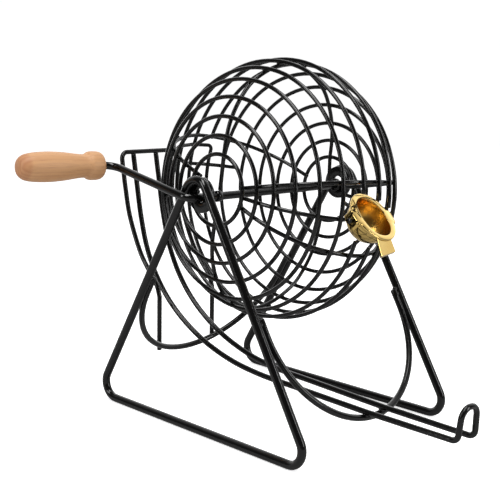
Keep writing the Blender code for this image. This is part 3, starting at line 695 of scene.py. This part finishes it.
brass.relief(streak * 0.5 + brass.noise(90.0, 1.0) * 2.0, 0.00003, 0.25)

ear_half_depth, ear_half_width, ear_bend, ear_reach = 0.0044, 0.0065, 0.002, 0.0217
swing = np.linspace(0.0, math.pi / 2, 22)
outside = np.stack([cup_radius * np.sin(swing), -collar_depth - cup_radius * np.cos(swing)], -1)
inner = cup_radius - cup_wall
inside = np.stack([inner * np.sin(swing), -collar_depth - inner * np.cos(swing)], -1)[::-1]
# The rim's outline, as radius, height and the share in which it narrows towards the ears.
rim = np.array([
    (cup_radius, -0.0028, 0), (cup_radius + 0.0004, -0.0025, 0), (lip - 0.0004, -0.0024, 0),
    (lip, -0.0020, 0), (lip, -0.0006, 0), (lip - 0.0002, -0.0002, 0), (lip - 0.0006, 0.0, 0),
    (inner + 0.0008, 0.0, 1), (inner + 0.0002, -0.0001, 1), (inner, -0.0005, 1),
    (inner + 0.0001, -0.0009, 1), (inner + 0.0004, -0.0011, 0.2), (inner, -0.0016, 0),
])
narrowed = np.concatenate([np.zeros(len(outside)), rim[:, 2], np.zeros(len(inside))])[:, None]
outline = np.vstack([outside, rim[:, :2], inside])
turn = full_turn(96)
narrowing, flange_start = 0.0026, lip - 0.0007
spread = outline[:, :1] - narrowed * narrowing * np.abs(np.cos(turn)) ** 3
over_ear = np.abs(np.sin(turn)) < math.sin(math.atan2(ear_half_width, ear_reach))
flange = outline[:, :1] > flange_start
spread = np.where(flange & over_ear, spread - lip + ear_reach / np.abs(np.cos(turn)), spread)
bowl = set_at(turned(spread, outline[:, 1:], turn), cup_middle, cup_right, cup_up)
skinned("brass_cup", [bowl], brass.material, "cup", "catch_cup", capped=False)


# Tab: a flat tongue of the same brass for the thumb that tips the cup. It widens outwards,
# is cut off askew and is folded double at its tip.
tab_length, tab_slant, tab_bend = 0.0133, 0.0024, math.radians(16)
root_half, tip_half, root_thick, tip_thick = 0.0074, 0.0087, 0.0016, 0.0026
tab_aside, tab_inwards, tab_below = -0.0020, 0.0032, -0.0008
fold = 0.92
way = np.concatenate([np.linspace(0, fold, 12), [0.95, 0.975, 0.99, 1.0]])[:, None]
upper = np.array([(1, 0.3), (0.985, 0.5), (0.5, 0.5), (0, 0.5), (-0.5, 0.5), (-0.985, 0.5), (-1, 0.3)])
section = np.vstack([-upper, upper])
half_width = root_half + (tip_half - root_half) * way
x = section[None, :, 0] * half_width
cut = tab_length - tab_slant * (x / half_width + 1) / 2
out = seat_gap + way * cut - 0.5 * x ** 2 / lip * (1 - way)
thick = root_thick + (tip_thick - root_thick) * np.clip((way - fold) / 0.03, 0, 1)
y = tab_inwards - lip - out * math.cos(tab_bend)
drop = tab_below - np.maximum(out, 0) * math.sin(tab_bend) - thick / 2
tab = np.stack([x + tab_aside, y, drop + section[None, :, 1] * thick], -1)
tab = set_at(tab, cup_middle, cup_right, cup_up)[:, ::-1]
skinned("thumb_tab", [tab], brass.material, "cup", "catch_tab")


# Ears and pins: two small brass plates with round corners, pierced and soldered to the
# rim's sides, and the two cut steel pins that run through them and carry the cup.
ear_columns, ear_thickness, ear_edge = 48, 0.0012, 0.0002
ear_x = lip + seat_gap + ear_thickness / 2
turn = full_turn(ear_columns)
around = np.stack([np.cos(turn), np.sin(turn)], -1)


def ear_outline(half_width, half_depth, bend):
    """Distance from the middle to a rectangle with round corners, for each of the turns."""
    half = np.array([half_width, half_depth])
    flat = (half / np.maximum(np.abs(around), 1e-9)).min(1)
    centre = half - bend
    along = np.abs(around) @ centre
    rounded_corner = along + np.sqrt(np.maximum(along ** 2 - (centre ** 2).sum() + bend ** 2, 0))
    hit = np.abs(around) * flat[:, None]
    return np.where((hit > centre).all(1), rounded_corner, flat)


plate = ear_outline(ear_half_width, ear_half_depth, ear_bend)
for name, sign in (("catch_near_ear", -1), ("catch_far_ear", 1)):
    ear = washer(plate, pin_radius + seat_gap, ear_thickness, ear_edge, ear_columns)
    middle = cup_middle + cup_right * sign * ear_x - mouth_way * pin_depth
    ear = set_at(ear, middle, cup_up, mouth_way)
    skinned(name + "_plate", [ear], brass.material, "cup", name, joined=True)
pin_start = lip + 0.0001
for name, sign in (("catch_near_pin", -1), ("catch_far_pin", 1)):
    start = cup_middle - mouth_way * pin_depth
    first = start + cup_right * sign * pin_start
    last = start + cup_right * sign * pin_end
    pin = cropped(divided(np.stack([first, last]), longest=0.002), pin_radius, cup_up, sides=24)
    skinned(name + "_rod", [pin], cage_enamel, "cage", name)


# Handle: turned from one piece of pale, close-grained wood with a bead where the rod goes
# in, oiled, and drilled through most of its length so that it spins on the rod.
wood = Finish("turned_wood", Specular_IOR_Level=0.45)
handle_way = unit(pin_way)
handle_up = unit(np.cross(handle_way, arm_way))
handle_side = np.cross(handle_up, handle_way)
handle_start = corner + handle_way * pin_shoulder
handle_axes = Matrix([list(handle_side), list(handle_up), list(handle_way)]).transposed()
own_axes = {"Location": tuple(handle_start), "Rotation": tuple(handle_axes.to_euler())}
handle_place = wood.add("Mapping", {"vector_type": "TEXTURE"}, {"Vector": wood.place, **own_axes})
drift = wood.noise(30.0, 3.0, handle_place)
stretched = wood.add("Mapping", {}, {"Vector": handle_place, "Scale": (1.0, 1.0, 0.06)})
fibre = wood.noise(900.0, 5.0, stretched, 0.6)
figure = wood.noise(140.0, 3.0, stretched)
way_out = wood.add("SeparateXYZ", {}, {"Vector": handle_place}, 2)
off_heart = {"Vector": handle_place, "Location": (0.011, 0.004, 0), "Scale": (1, 1, 0.12)}
growth = {"Scale": 95.0, "Distortion": 3.0, "Detail": 2.0, "Detail Scale": 1.4}
growth["Vector"] = wood.add("Mapping", {}, off_heart)
bands = wood.add("TexWave", {"wave_type": "RINGS", "rings_direction": "Z"}, growth, 1)
end_grain_from, end_grain_to, wander = 0.0680, 0.0715, 0.006
end_grain = (way_out + drift * wander).between(end_grain_from, end_grain_to)
colour = wood.mixed(figure.between(0.32, 0.68), (0.59, 0.32, 0.150), (0.50, 0.25, 0.108))
colour = wood.mixed(bands.between(0.55, 0.95) * 0.24, colour, (0.42, 0.21, 0.10))
colour = wood.mixed(fibre.between(0.52, 0.72) * 0.35, colour, (0.34, 0.15, 0.07))
colour = wood.mixed(end_grain * (0.50 + bands * 0.35), colour, (0.42, 0.175, 0.075))
wood.set(Base_Color=colour, Roughness=0.38 + fibre * 0.20)
wood.relief(fibre + bands * 0.3, 0.00015, 0.5)

handle_length, handle_radius = 0.0753, 0.0112
collar_trim, butt_trim = 0.0048, 0.0025
handle_shares = np.array([
    (0.000, 0.74), (0.009, 0.85), (0.037, 0.94), (0.079, 0.97), (0.131, 0.97), (0.164, 0.93),
    (0.192, 0.83), (0.235, 0.79), (0.327, 0.84), (0.449, 0.93), (0.571, 0.985), (0.673, 1.00),
    (0.776, 0.98), (0.870, 0.925), (0.930, 0.84), (0.966, 0.73), (0.989, 0.60), (1.000, 0.48),
])
barrel_length = handle_length - collar_trim - butt_trim
outer = handle_shares[:, ::-1] * (handle_radius, barrel_length) + (0, collar_trim)
outer = softened(np.column_stack([outer, np.zeros(len(outer))]), 5)[:, :2]
outer[:, 1] = np.clip(outer[:, 1], collar_trim, collar_trim + barrel_length)
bore, bore_depth, bore_edge = axle_radius + seat_gap, 0.006, 0.0006
outline = np.vstack([
    (bore, collar_trim + bore_depth), (bore, collar_trim + bore_edge), (bore + bore_edge, collar_trim),
    outer, (0.0, collar_trim + barrel_length),
])
barrel = turned(outline[:, :1], outline[:, 1:], full_turn(96))
barrel = set_at(barrel, handle_start, handle_side, handle_up)
skinned("wooden_handle", [barrel], wood.material, "handle", "handle", capped=False)


# Setting: a pale floor that keeps a faint shadow, and soft studio light from above and from
# both sides. A white wall stands far behind the object, so its glossy wires mirror less
# light from the viewer's side.
floor_mesh = bpy.data.meshes.new("floor")
edge, depth = 3, -0.0002
corners = [(-edge, -edge, depth), (edge, -edge, depth), (edge, edge, depth), (-edge, edge, depth)]
floor_mesh.from_pydata(corners, [], [(0, 1, 2, 3)])
floor = bpy.data.objects.new("floor", floor_mesh)
bpy.context.scene.collection.objects.link(floor)
floor_paint = Finish("pale_floor", Base_Color=(0.80, 0.80, 0.80), Roughness=0.9, Specular_IOR_Level=0.1)
seen = floor_paint.add("LightPath", {}, {}, "Is Camera Ray")
mirrored = floor_paint.add("LightPath", {}, {}, "Is Glossy Ray")
plain = floor_paint.mixed(mirrored, (0.68, 0.68, 0.68), (0.40, 0.40, 0.40))
floor_paint.set(Base_Color=floor_paint.mixed(seen, plain, (0.97, 0.97, 0.97)))
glow = floor_paint.mixed(seen, (0.0, 0.0, 0.0), (1.0, 1.0, 1.0))
floor_paint.set(Emission_Color=glow, Emission_Strength=0.60)
floor_mesh.materials.append(floor_paint.material)
floor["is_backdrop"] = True

world = bpy.data.worlds.new("studio")
bpy.context.scene.world = world
world.use_nodes = True
studio = NodeBench(world.node_tree)
direction = studio.add("TexCoord", {}, {}, "Generated")
viewer_way = (-0.699, -0.694, 0.172)
to_viewer = studio.add("VectorMath", {"operation": "DOT_PRODUCT"}, {0: direction, 1: viewer_way}, "Value")
fall = {"From Min": -0.75, "From Max": -0.05, "To Min": 0.90, "To Max": -0.45}
wall = studio.add("MapRange", {}, {"Value": to_viewer, **fall})
glossy = studio.add("LightPath", {}, {}, "Is Glossy Ray")
direct = studio.add("LightPath", {}, {}, "Is Camera Ray")
backdrop = studio.tree.nodes["Background"]
studio.feed(backdrop.inputs["Color"], (1.0, 1.0, 1.0))
studio.feed(backdrop.inputs["Strength"], 0.52 + glossy * wall + direct * 0.50)


def soft_lamp(name, place, aim, size, power):
    """A square or long softbox that stands at a place and faces the point it is aimed at."""
    lamp = bpy.data.lights.new(name, "AREA")
    lamp.shape = "RECTANGLE"
    lamp.size, lamp.size_y = size
    lamp.energy = power
    item = bpy.data.objects.new(name, lamp)
    bpy.context.scene.collection.objects.link(item)
    back = unit(np.array(place, float) - np.array(aim, float))
    right_way = unit(np.cross((0, 0.01, 1), back))
    axes = np.stack([right_way, np.cross(back, right_way), back], -1)
    item.matrix_world = Matrix([[*axes[k], place[k]] for k in range(3)] + [[0, 0, 0, 1]])


soft_lamp("top_softbox", (-0.2, -0.1, 1.3), (0.08, 0, 0.1), (0.35, 1.1), 10.0)
soft_lamp("left_softbox", (-1.1, 0.3, 0.7), (0.08, 0, 0.12), (0.30, 0.9), 4.5)
soft_lamp("side_softbox", (0.95, -0.33, 0.80), (0.08, -0.09, 0.16), (0.9, 0.9), 1.2)
soft_lamp("right_softbox", (0.5, -1.3, 0.6), (0.08, 0, 0.12), (0.25, 0.8), 5.0)

bpy.context.scene.view_settings.view_transform = "Standard"
sizes = {"cad_box": [list(v) for v in cad_box], "visual_box": [list(v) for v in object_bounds()]}
